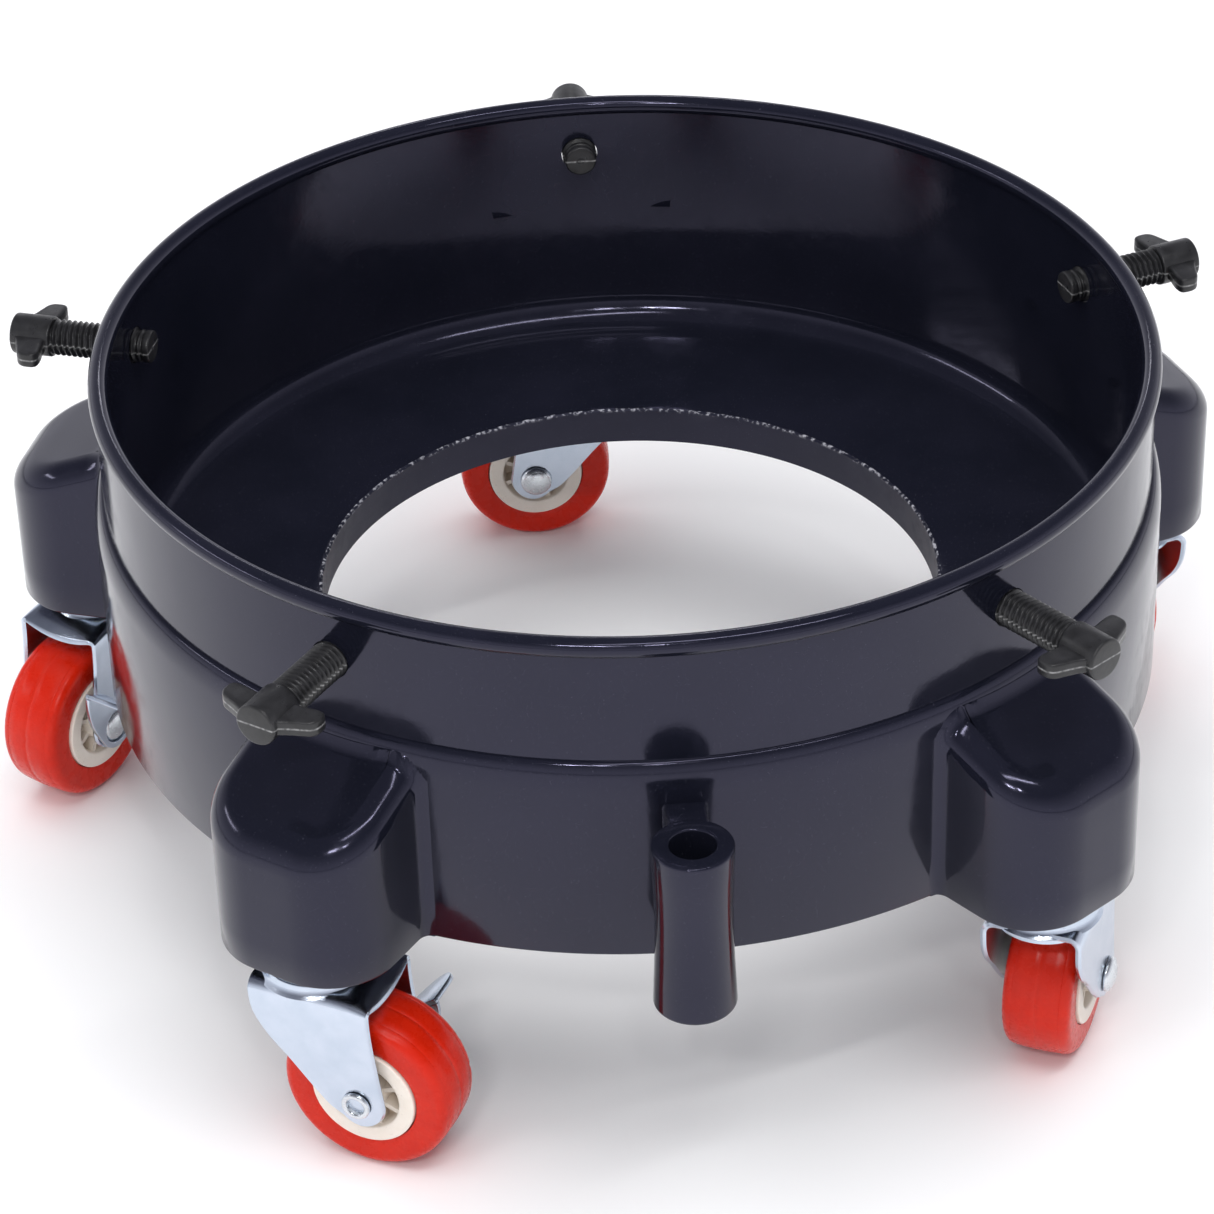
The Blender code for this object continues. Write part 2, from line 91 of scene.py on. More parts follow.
# Casters and screws.
LEG_HALF = 0.0152
SHEET = 0.0018
CROWN_Z = joints["back_swivel_turn"]["pos_m"][2]
CROWN_LIP_Z = CROWN_Z + 0.0026
CROWN_BAND_Z = CROWN_Z - 0.0045
RACE_R = 0.0150
BEARING_GAP = 0.0044
BALL_COUNT = 18
WHEEL_R = joints["back_wheel_roll"]["pos_m"][2]
TYRE_HALF = 0.0105
TYRE_BORE_R = 0.0166
HUB_HALF = 0.0112
BOSS_HALF = 0.0122
FIT_GAP = 0.0003
PITCH = 0.00185
SCREW_HOLE_R = 0.0060
TIP_IN = 0.1516
TIP_OUT = 0.1554
WING_HUB_IN = 0.184
WING_HUB_OUT = 0.197
WING_HUB_R = 0.0064
WING_HALF_SPAN = 0.0160
WING_THICK = 0.0050


# ---------------------------------------------------------------- places


def flat(point):
    return Vector((point[0], point[1]))


def circle_centre(a, b, c):
    """Centre of the circle through three points in plan."""
    ab, ac = b - a, c - a
    turn = 2 * (ab.x * ac.y - ab.y * ac.x)
    along = (ac.y * ab.length_squared - ab.y * ac.length_squared) / turn
    across = (ab.x * ac.length_squared - ac.x * ab.length_squared) / turn
    return a + Vector((along, across))


kings = {name: flat(joints[f"{name}_swivel_turn"]["pos_m"]) for name in NAMES}
wheels = {name: flat(joints[f"{name}_wheel_roll"]["pos_m"]) for name in NAMES}
ring_centre = circle_centre(kings["right"], kings["back"], kings["left"])
KING_OUT = (kings["back"] - ring_centre).length
TRAIL = (wheels["back"] - kings["back"]).length
SCREW_Z = joints["back_screw_turn"]["pos_m"][2]


def place(point, direction, height=0.0):
    """A frame at a point in plan whose x runs along direction."""
    turn = math.atan2(direction.y, direction.x)
    return Matrix.Translation((point.x, point.y, height)) @ Matrix.Rotation(turn, 4, "Z")


stations = {name: place(ring_centre, kings[name] - ring_centre) for name in NAMES}
casters = {name: place(kings[name], wheels[name] - kings[name]) for name in NAMES}


# ---------------------------------------------------------------- shapes


def arc(centre, radius, start, end, steps):
    points = []
    for step in range(steps + 1):
        angle = math.radians(start + (end - start) * step / steps)
        points.append((centre[0] + radius * math.cos(angle), centre[1] + radius * math.sin(angle)))
    return points


def rounded(corners, steps=4):
    """An outline whose corners, each (x, y, radius), are eased by a curve."""
    points = []
    count = len(corners)
    for index, (x, y, radius) in enumerate(corners):
        here = Vector((x, y))
        if radius <= 0:
            points.append((x, y))
            continue
        before = Vector(corners[index - 1][:2])
        after = Vector(corners[(index + 1) % count][:2])
        back = before - here
        ahead = after - here
        first = here + back.normalized() * min(radius, back.length * 0.48)
        last = here + ahead.normalized() * min(radius, ahead.length * 0.48)
        for step in range(steps + 1):
            t = step / steps
            point = first * (1 - t) ** 2 + here * 2 * t * (1 - t) + last * t**2
            points.append((point.x, point.y))
    return points


def grid(bm, rows, close_rows=False, close_columns=False):
    """Quads between rows of points."""
    made = [[bm.verts.new(point) for point in row] for row in rows]
    pairs = list(zip(made, made[1:]))
    if close_rows:
        pairs.append((made[-1], made[0]))
    for near, far in pairs:
        count = len(near)
        for index in range(count if close_columns else count - 1):
            after = (index + 1) % count
            bm.faces.new((near[index], near[after], far[after], far[index]))
    return made


def lathe(bm, outline, steps, matrix=None, closed=True):
    """Revolves an outline of (radius, height) points about Z."""
    rows = []
    for step in range(steps):
        angle = math.tau * step / steps
        row = [Vector((r * math.cos(angle), r * math.sin(angle), z)) for r, z in outline]
        rows.append([matrix @ point for point in row] if matrix else row)
    return grid(bm, rows, close_rows=True, close_columns=closed)


def block(bm, x, y, z, matrix=None):
    corners = [(a, b, c) for c in z for a, b in ((x[0], y[0]), (x[1], y[0]), (x[1], y[1]), (x[0], y[1]))]
    verts = [bm.verts.new(matrix @ Vector(corner) if matrix else corner) for corner in corners]
    for face in ((0, 3, 2, 1), (4, 5, 6, 7), (0, 1, 5, 4), (1, 2, 6, 5), (2, 3, 7, 6), (3, 0, 4, 7)):
        bm.faces.new([verts[index] for index in face])


def add_plate(bm, loops, thickness, edge, matrix):
    """A flat plate with holes and soft edges: the first loop is its outline, its middle plane is z = 0."""
    curve = bpy.data.curves.new("plate", "CURVE")
    curve.dimensions = "2D"
    curve.fill_mode = "BOTH"
    curve.extrude = thickness / 2 - edge
    curve.bevel_depth = edge
    curve.bevel_resolution = 2
    curve.offset = -edge
    for loop in loops:
        spline = curve.splines.new("POLY")
        spline.points.add(len(loop) - 1)
        for point, (x, y) in zip(spline.points, loop):
            point.co = (x, y, 0.0, 1.0)
        spline.use_cyclic_u = True
    carrier = bpy.data.objects.new("plate", curve)
    bpy.context.scene.collection.objects.link(carrier)
    bpy.context.view_layer.update()
    shape = carrier.evaluated_get(bpy.context.evaluated_depsgraph_get()).to_mesh()
    shape.transform(matrix)
    bm.from_mesh(shape)
    bpy.data.objects.remove(carrier)
    bpy.data.curves.remove(curve)


def make_mesh(name, bm, sharp=32):
    bmesh.ops.remove_doubles(bm, verts=bm.verts, dist=1e-7)
    bmesh.ops.dissolve_degenerate(bm, edges=bm.edges, dist=1e-7)
    bmesh.ops.recalc_face_normals(bm, faces=bm.faces)
    mesh = bpy.data.meshes.new(name)
    bm.to_mesh(mesh)
    bm.free()
    mesh.polygons.foreach_set("use_smooth", [True] * len(mesh.polygons))
    mesh.set_sharp_from_angle(angle=math.radians(sharp))
    return mesh


def piece(name, mesh, matrix, body, node, finish):
    """Puts a mesh in its place, on its body, for its CAD node."""
    obj = bpy.data.objects.new(name, mesh)
    bpy.context.scene.collection.objects.link(obj)
    if not mesh.materials:
        mesh.materials.append(finish)
    obj.matrix_world = matrix
    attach(obj, body)
    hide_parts(node)
    return obj


# ---------------------------------------------------------------- ring


def ring_section():
    inner_skirt = SKIRT_R - WALL
    inner_wall = UPPER_R - WALL
    shoulder = []
    for step in range(13):
        turn = math.radians(90 - step * 7.5)
        radius = UPPER_R + (SKIRT_R - UPPER_R) * math.sin(turn)
        shoulder.append((radius, SHOULDER_Z + (SHOULDER_TOP_Z - SHOULDER_Z) * math.cos(turn)))
    foot = [(SKIRT_R - 0.0007, SKIRT_Z), (SKIRT_R - 0.0002, SKIRT_Z + 0.0002), (SKIRT_R, SKIRT_Z + 0.0007)]
    wall = [(UPPER_R, SHOULDER_TOP_Z + 0.0008), (UPPER_R - 0.0001, (SHOULDER_TOP_Z + RIM_Z) / 2)]
    bead = arc((RIM_R - BEAD_R, RIM_Z), BEAD_R, -58, 238, 22)
    inside = [(inner_wall, SHOULDER_TOP_Z), (inner_wall, (SHOULDER_TOP_Z + FLOOR_Z) / 2)]
    inside += arc((inner_wall - FLOOR_FILLET, FLOOR_Z + FLOOR_FILLET), FLOOR_FILLET, 0, -90, 12)
    inside.append((HOLE_R + 0.020, FLOOR_Z))
    edge = [(HOLE_R + 0.0030, FLOOR_Z), (HOLE_R + 0.0016, FLOOR_Z), (HOLE_R + 0.0005, FLOOR_Z - 0.0001)]
    edge += [(HOLE_R, FLOOR_Z - 0.0005), (HOLE_R, FLOOR_Z - 0.0012), (HOLE_R, FLOOR_Z - 0.0040)]
    lip = [
        (HOLE_R, HOLE_LIP_Z),
        (HOLE_R + HOLE_LIP_WALL, HOLE_LIP_Z),
        (HOLE_R + HOLE_LIP_WALL, FLOOR_Z - FLOOR_THICK),
        (inner_skirt, FLOOR_Z - FLOOR_THICK),
        (inner_skirt, SKIRT_Z),
    ]
    return foot + shoulder + wall + bead + inside + edge + lip


def pod_plan(inset=0.0):
    """Plan of a pod as (point, normal) pairs, from the skirt on one side round to the skirt on the other."""
    root = POD_ROOT + inset
    half = POD_HALF_WIDTH - inset
    corner = POD_CORNER - inset
    out = POD_OUT - inset
    middle = half + root
    centre = (math.sqrt((SKIRT_R + root) ** 2 - middle**2), middle)
    lean = math.degrees(math.atan2(-centre[1], -centre[0]))
    side = []
    for x, y in arc(centre, root, lean, -90, 10):
        side.append(((x, y), ((centre[0] - x) / root, (centre[1] - y) / root)))
    start, normal = side[0]
    side.insert(0, ((start[0] - normal[0] * 0.0012, start[1] - normal[1] * 0.0012), normal))
    for x in (0.30, 0.65):
        side.append(((centre[0] + (out - corner - centre[0]) * x, half), (0.0, 1.0)))
    for x, y in arc((out - corner, half - corner), corner, 90, 0, 20):
        side.append(((x, y), ((x - out + corner) / corner, (y - half + corner) / corner)))
    side.append(((out, (half - corner) * 0.4), (1.0, 0.0)))
    return side + [((x, -y), (a, -b)) for (x, y), (a, b) in side[::-1]]


def pod_top(x):
    return POD_TOP_IN_Z - (POD_TOP_IN_Z - POD_TOP_OUT_Z) * (x - SKIRT_R) / (POD_OUT - SKIRT_R)


def roof_height(x, y):
    """The pod's roof, with a hollow curve where it runs into the shoulder."""
    root = 0.0035
    away = max(math.hypot(x, y) - SKIRT_R, 0.0)
    if away >= root:
        return pod_top(x)
    return pod_top(x) + root - math.sqrt(root**2 - (root - away) ** 2)


def pod_column(point, normal):
    """One column of the pod, from the roof's inner end over the edge and down to the foot."""
    x, y = point
    fillet = POD_FILLET
    column = []
    for step in range(11):
        turn = math.radians(90 - 9 * step)
        back = fillet * (1 - math.cos(turn))
        px, py = x - normal[0] * back, y - normal[1] * back
        column.append((px, py, roof_height(px, py) - fillet * (1 - math.sin(turn))))
    start = column[0]
    reach = math.sqrt((UPPER_R - 0.001) ** 2 - start[1] ** 2)
    reach = min(reach, start[0] - 0.0004)
    roof = []
    for t in (1.0, 0.97, 0.94, 0.91, 0.88, 0.85, 0.82, 0.79, 0.76, 0.72, 0.68, 0.6, 0.45, 0.3, 0.15):
        px = start[0] + (reach - start[0]) * t
        roof.append((px, start[1], roof_height(px, start[1])))
    low = column[-1][2]
    down = [low + (SKIRT_Z + 0.0008 - low) * t for t in (0.25, 0.5, 0.75, 1.0)]
    sides = [(x, y, z) for z in down]
    foot = [(x - normal[0] * 0.0003, y - normal[1] * 0.0003, SKIRT_Z + 0.0002)]
    foot.append((x - normal[0] * 0.0009, y - normal[1] * 0.0009, SKIRT_Z))
    return roof + column + sides + foot


def add_pod(bm, matrix):
    hollow = pod_plan(POD_WALL)
    rows = []
    for (point, normal), (inner, inner_normal) in zip(pod_plan(), hollow):
        column = pod_column(point, normal)
        ease = 0.0015
        column.append((*inner, SKIRT_Z))
        column.append((*inner, POD_HOLLOW_TOP_Z - ease))
        inward = (inner[0] - inner_normal[0] * ease, inner[1] - inner_normal[1] * ease)
        column.append((*inward, POD_HOLLOW_TOP_Z))
        column.append((max(inner[0] - 0.012, SKIRT_R - 0.001), inner[1] * 0.1, POD_HOLLOW_TOP_Z))
        rows.append([matrix @ Vector(point) for point in column])
    grid(bm, rows)
    top = POD_HOLLOW_TOP_Z + 0.001
    boss = [(BOSS_BORE_R, SKIRT_Z), (BOSS_R, SKIRT_Z), (BOSS_R, top), (BOSS_BORE_R, top)]
    lathe(bm, boss, 32, matrix @ Matrix.Translation((KING_OUT, 0, 0)))
    high = (SKIRT_Z + 0.005, top)
    reach = BOSS_R - 0.0015
    across = (-RIB_HALF, RIB_HALF)
    block(bm, (SKIRT_R - 0.002, KING_OUT - reach), across, high, matrix)
    block(bm, (KING_OUT + reach, POD_OUT - 0.003), across, high, matrix)
    for side in (-1, 1):
        span = sorted((side * reach, side * (POD_HALF_WIDTH - 0.003)))
        block(bm, (KING_OUT - RIB_HALF, KING_OUT + RIB_HALF), span, high, matrix)


def add_tool_holder(bm, matrix):
    middle = (HOLDER_TOP_Z + HOLDER_LOW_Z) / 2
    tube = rounded(
        [
            (HOLDER_BORE_R, HOLDER_LOW_Z, 0.0005),
            (0.0120, HOLDER_LOW_Z, 0.0012),
            (0.0112, middle - 0.010, 0.010),
            (0.0110, middle + 0.006, 0.010),
            (0.0118, HOLDER_TOP_Z, 0.0012),
            (0.0066, HOLDER_TOP_Z, 0.0009),
        ],
        6,
    )
    lathe(bm, tube, 72, matrix @ Matrix.Translation((HOLDER_OUT, 0, 0)))
    near, far = SKIRT_R - 0.0015, HOLDER_OUT - 0.0072
    levels = [(SKIRT_Z + 0.0002, 0.0004), (SKIRT_Z + 0.0008, 0.0)]
    levels += [(HOLDER_TOP_Z - 0.0012, 0.0), (HOLDER_TOP_Z - 0.0003, 0.0006)]
    rows = []
    for z, ease in levels:
        row = []
        for step in range(9):
            t = step / 8
            bulge = WEB_ROOT * (2 * t - 1) ** 4
            row.append((near + (far - near) * t, WEB_HALF - ease + bulge, z))
        row += [(x, -y, z) for x, y, z in row[::-1]]
        rows.append([matrix @ Vector(point) for point in row])
    made = grid(bm, rows, close_columns=True)
    bm.faces.new(made[0])
    bm.faces.new(made[-1][::-1])


def drill(bm, spots, radius):
    """The bmesh with a round hole cut at each spot, along the spot's x."""
    drills = bmesh.new()
    for spot in spots:
        along = spot @ Matrix.Rotation(math.radians(90), 4, "Y")
        bmesh.ops.create_cone(
            drills, cap_ends=True, segments=48, radius1=radius, radius2=radius, depth=0.016, matrix=along
        )
    carriers = []
    for source in (bm, drills):
        mesh = bpy.data.meshes.new("carrier")
        bmesh.ops.recalc_face_normals(source, faces=source.faces)
        source.to_mesh(mesh)
        source.free()
        carriers.append(bpy.data.objects.new("carrier", mesh))
        bpy.context.scene.collection.objects.link(carriers[-1])
    cut = carriers[0].modifiers.new("holes", "BOOLEAN")
    cut.operation, cut.solver, cut.object = "DIFFERENCE", "EXACT", carriers[1]
    bpy.context.view_layer.update()
    drilled = bmesh.new()
    drilled.from_mesh(carriers[0].evaluated_get(bpy.context.evaluated_depsgraph_get()).to_mesh())
    for carrier in carriers:
        mesh = carrier.data
        bpy.data.objects.remove(carrier)
        bpy.data.meshes.remove(mesh)
    return drilled


def build_ring(finish):
    """The moulded ring on its own axis: shell, pods, ribs and tool holder."""
    bm = bmesh.new()
    for row in lathe(bm, ring_section(), RING_STEPS):
        for vert in row:
            radius = math.hypot(vert.co.x, vert.co.y)
            if radius < HOLE_R + 0.0008 and vert.co.z > FLOOR_Z - 0.0008:
                ragged = noise.noise((vert.co.x * 260, vert.co.y * 260, 0.0))
                ragged += 0.5 * noise.noise((vert.co.x * 900, vert.co.y * 900, 0.0))
                vert.co.x += vert.co.x / radius * ragged * 0.00030
                vert.co.y += vert.co.y / radius * ragged * 0.00030
    to_ring = Matrix.Translation((-ring_centre.x, -ring_centre.y, 0.0))
    screw_spot = Matrix.Translation((UPPER_R - WALL / 2, 0.0, SCREW_Z))
    bm = drill(bm, [to_ring @ stations[name] @ screw_spot for name in NAMES], SCREW_HOLE_R)
    for name in NAMES:
        add_pod(bm, to_ring @ stations[name])
    holder_turn = Matrix.Rotation(math.radians(-90), 4, "Z")
    add_tool_holder(bm, holder_turn)
    reach = (HOLE_R + 0.002, SKIRT_R - 0.0015)
    for number in range(RIB_COUNT):
        turn = Matrix.Rotation(math.tau * number / RIB_COUNT, 4, "Z")
        block(bm, reach, (-RIB_HALF, RIB_HALF), (HOLE_LIP_Z + 0.001, FLOOR_Z - 0.002), turn)
    mesh = make_mesh("ring_shell", bm)
    middle = Matrix.Translation((ring_centre.x, ring_centre.y, 0.0))
    piece("ring_shell", mesh, middle, "ring", "ring_body", finish)


# ---------------------------------------------------------------- wing screws


def thread_radius(z, angle):
    """A coarse rounded thread about z."""
    phase = (z / PITCH - angle / math.tau) % 1.0
    ridge = max(0.0, 1.0 - abs(phase - 0.5) / 0.36)
    return 0.0048 + 0.00095 * (1 - (1 - ridge) ** 1.6)


def add_thread(bm, low, high):
    rows = []
    count = int((high - low) / PITCH * 9)
    for step in range(count + 1):
        z = low + (high - low) * step / count
        fade = min(1.0, (z - low) / 0.0012, (high - z) / 0.0012)
        row = []
        for index in range(40):
            angle = math.tau * index / 40
            radius = 0.0046 + (thread_radius(z, angle) - 0.0046) * max(fade, 0.0)
            row.append((radius * math.cos(angle), radius * math.sin(angle), z))
        rows.append(row)
    made = grid(bm, rows, close_columns=True)
    bm.faces.new(made[0])
    bm.faces.new(made[-1][::-1])


def wing_loop():
    """Both wings seen from above, (across, outward), swept back towards the thread."""
    half = [
        (0.0, WING_HUB_IN - 0.0004, 0),
        (WING_HUB_R * 0.9, WING_HUB_IN + 0.0018, 0.003),
        (WING_HALF_SPAN - 0.0030, WING_HUB_IN + 0.0004, 0.003),
        (WING_HALF_SPAN, WING_HUB_IN + 0.0012, 0.0022),
        (WING_HALF_SPAN, WING_HUB_IN + 0.0068, 0.0026),
        (WING_HUB_R + 0.0016, WING_HUB_OUT - 0.0030, 0.003),
        (WING_HUB_R - 0.0004, WING_HUB_OUT - 0.0016, 0.001),
    ]
    return rounded(half + [(-x, y, radius) for x, y, radius in half[:0:-1]], 5)


def build_screws(finish):
    bm = bmesh.new()
    add_thread(bm, TIP_OUT + FIT_GAP, WING_HUB_IN + 0.001)
    barrel = rounded(
        [
            (0.0, WING_HUB_IN, 0),
            (WING_HUB_R, WING_HUB_IN, 0.0008),
            (WING_HUB_R, WING_HUB_OUT, 0.0009),
            (0.0, WING_HUB_OUT, 0),
        ]
    )
    lathe(bm, barrel, 48, closed=False)
    lay = Matrix(((0, 0, -1, 0), (1, 0, 0, 0), (0, 1, 0, 0), (0, 0, 0, 1)))
    add_plate(bm, [wing_loop()], WING_THICK, 0.0008, lay)
    screw = make_mesh("wing_screw", bm, 40)
    bm = bmesh.new()
    disc = rounded(
        [
            (0.0, TIP_IN + 0.0002, 0),
            (0.0009, TIP_IN + 0.0002, 0.0002),
            (0.0011, TIP_IN, 0.0002),
            (0.0052, TIP_IN, 0.0008),
            (0.0052, TIP_IN + 0.0021, 0.0004),
            (0.0046, TIP_IN + 0.0024, 0.0002),
            (0.0047, TIP_IN + 0.0028, 0.0002),
            (0.0052, TIP_IN + 0.0032, 0.0003),
            (0.0052, TIP_OUT, 0.0004),
            (0.0, TIP_OUT, 0),
        ]
    )
    lathe(bm, disc, 48, closed=False)
    tip = make_mesh("pressure_tip", bm, 40)
    raise_axis = Matrix.Translation((0, 0, SCREW_Z)) @ Matrix.Rotation(math.radians(90), 4, "Y")
    pairs = (("winged_screw", screw, "wing", "wing_screw"), ("screw_tip", tip, "clamp", "pressure_tip"))
    for name in NAMES:
        matrix = stations[name] @ raise_axis
        for made, mesh, body, node in pairs:
            piece(f"{name}_{made}", mesh, matrix, f"{name}_{body}", f"{name}_{node}", finish)


# ---------------------------------------------------------------- casters


def curve_through(points, value):
    """Smooth interpolation of (key, value) points."""
    value = min(max(value, points[0][0]), points[-1][0])
    for index in range(len(points) - 1):
        a, b = points[index], points[index + 1]
        if value <= b[0]:
            before = points[max(index - 1, 0)]
            after = points[min(index + 2, len(points) - 1)]
            t = (value - a[0]) / (b[0] - a[0])
            slope_a = (b[1] - before[1]) / (b[0] - before[0]) * (b[0] - a[0])
            slope_b = (after[1] - a[1]) / (after[0] - a[0]) * (b[0] - a[0])
            cube, square = t**3, t**2
            return (
                a[1] * (2 * cube - 3 * square + 1)
                + slope_a * (cube - 2 * square + t)
                + b[1] * (3 * square - 2 * cube)
                + slope_b * (cube - square)
            )
    return points[-1][1]


FOOT = (TRAIL + 0.0010, WHEEL_R)
FOOT_R = 0.0078
LEG_BACK = [(0.0213, 0.0132), (0.0243, 0.0085), (0.0380, -0.0034), (0.0461, -0.0105)]
LEG_BACK += [(0.0547, -0.0147), (0.074, -0.0150)]
LEG_FRONT = [(0.0276, 0.0267), (0.0380, 0.0252), (0.0547, 0.0234), (0.074, 0.0233)]


def leg_span(z):
    """Back and front edge of the leg at a height."""
    drop = max(FOOT_R**2 - (z - FOOT[1]) ** 2, 0.0)
    back = FOOT[0] - math.sqrt(drop) if z < LEG_BACK[0][0] else curve_through(LEG_BACK, z)
    front = FOOT[0] + math.sqrt(drop) if z < LEG_FRONT[0][0] else curve_through(LEG_FRONT, z)
    return back, front


def crown_drop(x, y):
    """How far the crown falls towards its trailing edge, more in the middle."""
    along = max(x - 0.0120, 0.0) / 0.0113
    middle = 1.0 - (y / LEG_HALF) ** 2
    return along**2 * (0.0014 + 0.0040 * middle)


def fork_rows(inset):
    """Rows across the sheet from foot to foot over the crown, on a face inset below the outer one."""
    bend = 0.0042
    rows = []
    low = FOOT[1] - FOOT_R + 0.00002
    top = CROWN_Z - bend
    for step in range(31):
        t = step / 30
        rows.append((LEG_HALF - inset, low + (top - low) * t * (0.25 + 0.75 * t), 0.0))
    for y, z in arc((LEG_HALF - bend, top), bend - inset, 9, 90, 9):
        rows.append((y, z, (z - top) / (bend - inset)))
    for step in range(1, 9):
        rows.append(((LEG_HALF - bend) * (1 - step / 8), CROWN_Z - inset, 1.0))
    return rows + [(-y, z, weight) for y, z, weight in rows[-2::-1]]


def build_fork():
    bm = bmesh.new()
    columns = 16
    outer, inner, edge_back, edge_front = [], [], [], []
    middle = fork_rows(SHEET / 2)
    for faces, inset in ((outer, 0.0), (inner, SHEET)):
        for y, z, weight in fork_rows(inset):
            back, front = leg_span(min(z, CROWN_Z))
            ease = min(0.0005, (front - back) * 0.3)
            row = []
            for step in range(columns + 1):
                t = step / columns
                spread = 0.5 - 0.5 * math.cos(math.pi * t) if 0 < t < 1 else t
                x = back + ease + (front - back - 2 * ease) * spread
                row.append((x, y, z - crown_drop(x, y) * weight))
            faces.append(row)
    for y, z, weight in middle:
        back, front = leg_span(min(z, CROWN_Z))
        edge_back.append((back, y, z - crown_drop(back, y) * weight))
        edge_front.append((front, y, z - crown_drop(front, y) * weight))
    rows = []
    for index in range(len(outer)):
        loop = [edge_back[index]] + outer[index] + [edge_front[index]] + inner[index][::-1]
        rows.append(loop)
    made = grid(bm, rows, close_columns=True)
    bm.faces.new(made[0])
    bm.faces.new(made[-1][::-1])
    cup = rounded(
        [
            (RACE_R - 0.0016, CROWN_Z - 0.0030, 0),
            (RACE_R + 0.0022, CROWN_Z - 0.0014, 0.0002),
            (RACE_R + 0.0006, CROWN_Z + 0.0003, 0.0012),
            (RACE_R + 0.0003, CROWN_LIP_Z, 0.0006),
            (RACE_R - 0.0013, CROWN_LIP_Z, 0.0006),
        ]
    )
    lathe(bm, cup, 96)
    rows = []
    for step in range(33):
        angle = math.radians(98 + 164 * step / 32)
        band = ((RACE_R + 0.0003, CROWN_Z), (RACE_R + 0.0003, CROWN_BAND_Z + 0.0004))
        band += ((RACE_R - 0.0006, CROWN_BAND_Z), (RACE_R - 0.0014, CROWN_BAND_Z + 0.0004))
        band += ((RACE_R - 0.0014, CROWN_Z),)
        rows.append([(r * math.cos(angle), r * math.sin(angle), z) for r, z in band])
    made = grid(bm, rows, close_columns=True)
    bm.faces.new(made[0])
    bm.faces.new(made[-1][::-1])
    return make_mesh("fork_shell", bm, 45)


def build_bearing():
    """The upper race, the greased balls and the stem."""
    race_low = CROWN_Z + BEARING_GAP
    top = SKIRT_Z - FIT_GAP
    bm = bmesh.new()
    outline = rounded(
        [
            (0.0042, race_low + 0.0003, 0),
            (RACE_R - 0.0034, race_low + 0.0003, 0.0006),
            (RACE_R - 0.0026, race_low, 0.0004),
            (RACE_R - 0.0006, race_low, 0.0009),
            (RACE_R, race_low + 0.0014, 0.0009),
            (RACE_R, top, 0.0004),
            (0.0042, top, 0),
        ]
    )
    lathe(bm, outline, 96)
    race = make_mesh("upper_race_ring", bm)
    bm = bmesh.new()
    middle = (CROWN_Z + race_low) / 2
    ball = middle - CROWN_Z - FIT_GAP
    for number in range(BALL_COUNT):
        turn = Matrix.Rotation(math.tau * number / BALL_COUNT, 4, "Z")
        spot = turn @ Matrix.Translation((RACE_R - 0.0036, 0.0, middle))
        bmesh.ops.create_icosphere(bm, subdivisions=3, radius=ball, matrix=spot)
    rows = []
    for step in range(144):
        angle = math.tau * step / 144
        blob = 1 + 0.35 * noise.noise((math.cos(angle) * 4, math.sin(angle) * 4, 0.3))
        radius = RACE_R - 0.0030
        tube = [(radius + ball * 0.75 * blob * math.cos(t), middle + ball * 0.72 * blob * math.sin(t))
                for t in (math.tau * index / 10 for index in range(10))]
        rows.append([(r * math.cos(angle), r * math.sin(angle), z) for r, z in tube])
    grid(bm, rows, close_rows=True, close_columns=True)
    balls = make_mesh("greased_balls", bm, 60)
    bm = bmesh.new()
    low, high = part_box("back_stem")[0].z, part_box("back_stem")[1].z
    shank = rounded(
        [
            (0.0, low, 0),
            (0.0062, low, 0.0014),
            (0.0068, low + 0.0036, 0.0005),
            (0.0039, low + 0.0036, 0.0003),
            (0.0039, high, 0.0010),
            (0.0, high, 0),
        ]
    )
    lathe(bm, shank, 48, closed=False)
    return race, balls, make_mesh("stem_pin", bm)


